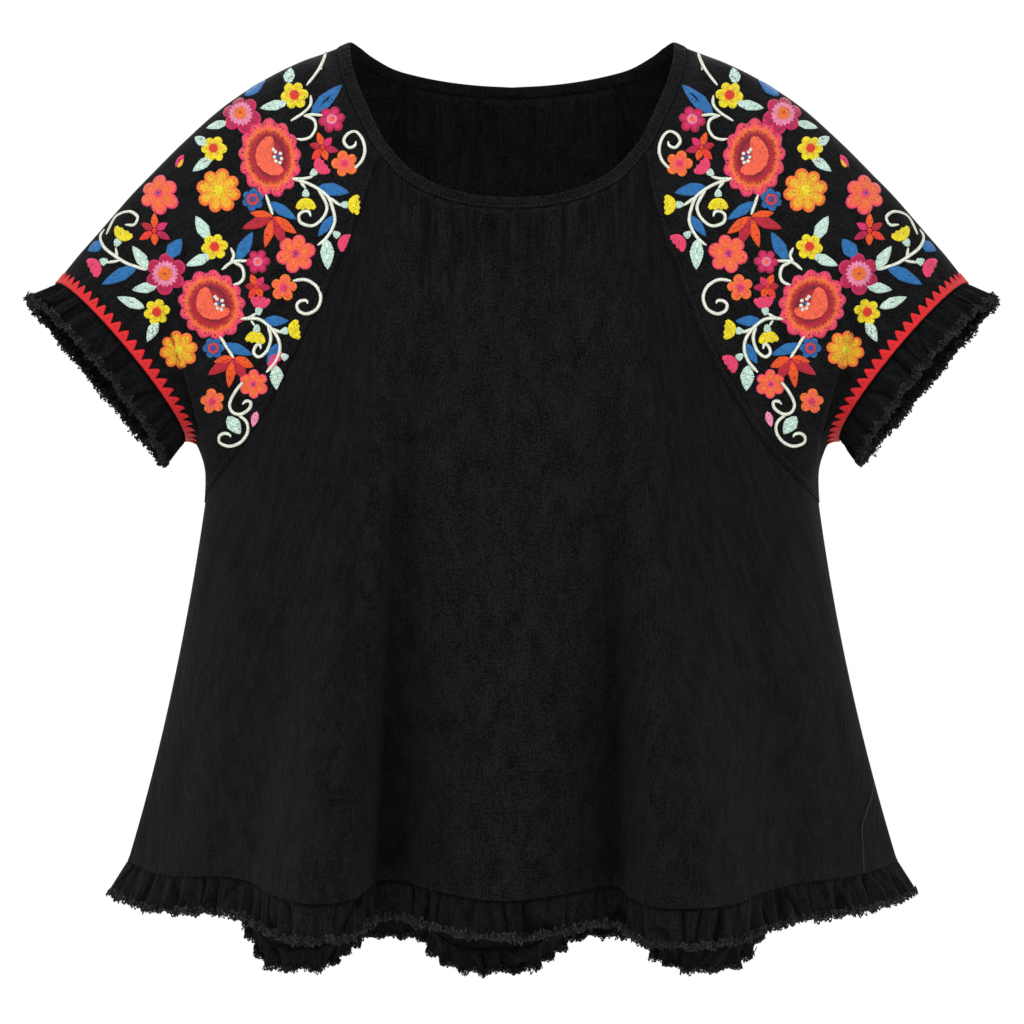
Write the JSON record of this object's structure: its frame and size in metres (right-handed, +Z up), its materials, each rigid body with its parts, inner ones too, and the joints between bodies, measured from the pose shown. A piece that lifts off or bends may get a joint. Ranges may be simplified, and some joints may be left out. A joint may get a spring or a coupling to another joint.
{
  "type": "raglan sleeve blouse",
  "caption": "A-line raglan blouse with round bound neck, embroidered short sleeves, pointed braid at the cuffs and gathered frills at cuffs and hem.",
  "frame": {"origin": "midway between the two tops of the shoulders, beside the neck, where the top hangs from", "axes": "+X to the wearer's left, -Y out of the front, +Z up"},
  "size_m": [0.7286, 0.3691, 0.7158],
  "materials": {
    "panel_cloth": "crinkled matte cotton gauze",
    "binding_cloth": "matte cotton gauze, pressed flat",
    "frill_cloth": "matte cotton gauze, gathered, frayed edge",
    "trim_braid": "satin thread braid"
  },
  "bodies": {
    "root": {"front": "panel_cloth", "back": "panel_cloth", "sleeve_right": "panel_cloth", "sleeve_left": "panel_cloth", "neck_binding": "binding_cloth", "hem_frill_front": "frill_cloth", "hem_frill_back": "frill_cloth", "cuff_frill_right": "frill_cloth", "cuff_frill_left": "frill_cloth", "cuff_trim_right": "trim_braid", "cuff_trim_left": "trim_braid"}
  },
  "joints": []
}
